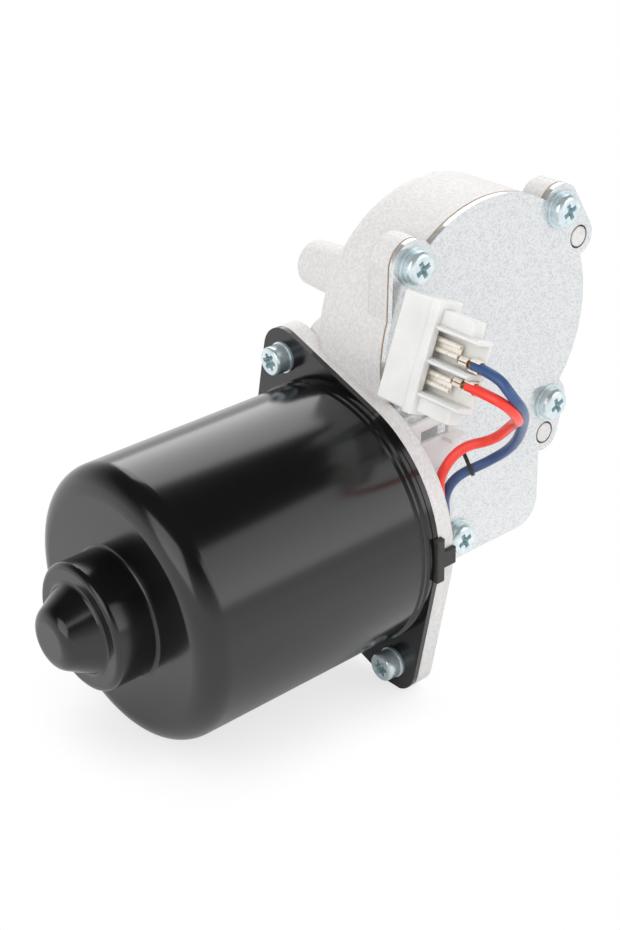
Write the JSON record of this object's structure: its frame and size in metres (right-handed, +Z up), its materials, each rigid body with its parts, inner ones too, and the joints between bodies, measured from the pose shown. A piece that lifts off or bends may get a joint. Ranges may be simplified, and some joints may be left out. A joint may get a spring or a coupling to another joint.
{
  "type": "wiper motor",
  "caption": "Wiper motor: a drawn can with a worm gear unit, a long output-shaft boss, a screwed cover and two leads to a plug connector.",
  "frame": {"origin": "on the output shaft's axis, in the plane of the three mounting bosses", "axes": "+X along the motor axis from the can to the gear case, +Y along the output shaft towards its free end, +Z up"},
  "size_m": [0.18, 0.1165, 0.1329],
  "materials": {
    "black_paint": "glossy black stoving enamel",
    "ferrite": "dark sintered ferrite",
    "sintered_bronze": "oily sintered bronze",
    "zinc_steel": "zinc-plated sheet",
    "spring_steel": "blued spring steel",
    "natural_nylon": "natural nylon",
    "clear_nylon": "thin natural nylon",
    "ground_steel": "ground steel",
    "lamination_steel": "stacked laminations",
    "copper_wire": "varnished copper wire",
    "commutator_copper": "turned copper",
    "wheel_resin": "moulded gear resin",
    "black_rubber": "black rubber",
    "cast_aluminium": "fine-grained die casting",
    "galvanised_sheet": "matt galvanised sheet",
    "gasket_paper": "brown gasket paper",
    "blue_zinc": "bright blue zinc plating",
    "brown_laminate": "phenolic laminate",
    "brass_sheet": "stamped brass",
    "carbon": "pressed carbon",
    "blue_insulation": "blue PVC insulation",
    "red_insulation": "red PVC insulation"
  },
  "bodies": {
    "housing": {"motor_can": "black_paint", "field_magnets": "ferrite", "rear_bush": "sintered_bronze", "rear_bush_retainer": "zinc_steel", "rear_thrust_pad": "natural_nylon", "output_bushes": "sintered_bronze", "output_seal": "black_rubber", "wheel_thrust_washer": "zinc_steel", "gear_housing": "cast_aluminium", "cover_plate": "galvanised_sheet", "cover_gasket": "gasket_paper", "cover_screws": "blue_zinc", "cover_screw_washers": "blue_zinc", "can_screws": "blue_zinc", "can_screw_washers": "blue_zinc", "front_bearing": "ground_steel", "worm_end_bush": "sintered_bronze", "brush_plate": "brown_laminate", "brush_holders": "brass_sheet", "brushes": "carbon", "brush_springs": "spring_steel", "rubber_plug": "black_rubber", "lead_grommet": "black_rubber", "lead_guide": "clear_nylon", "lead_blue": "blue_insulation", "lead_red": "red_insulation", "lead_tie": "black_rubber", "connector_housing": "natural_nylon", "connector_terminals": "brass_sheet"},
    "armature": {"armature_shaft": "ground_steel", "rotor_core": "lamination_steel", "rotor_winding": "copper_wire", "commutator": "commutator_copper", "worm": "ground_steel"},
    "output": {"output_shaft": "ground_steel", "worm_wheel": "wheel_resin", "wheel_circlip": "spring_steel"}
  },
  "joints": [
    {"name": "armature_spin", "type": "hinge", "parent": "housing", "child": "armature", "pos_m": [-0.041, -0.019, -0.046], "axis": [1, 0, 0], "continuous": true},
    {"name": "output_spin", "type": "hinge", "parent": "housing", "child": "output", "pos_m": [0, -0.019, 0], "axis": [0, 1, 0], "continuous": true}
  ],
  "couplings": [
    {"joint": "output_spin", "follows": "armature_spin", "ratio": 0.021739}
  ]
}
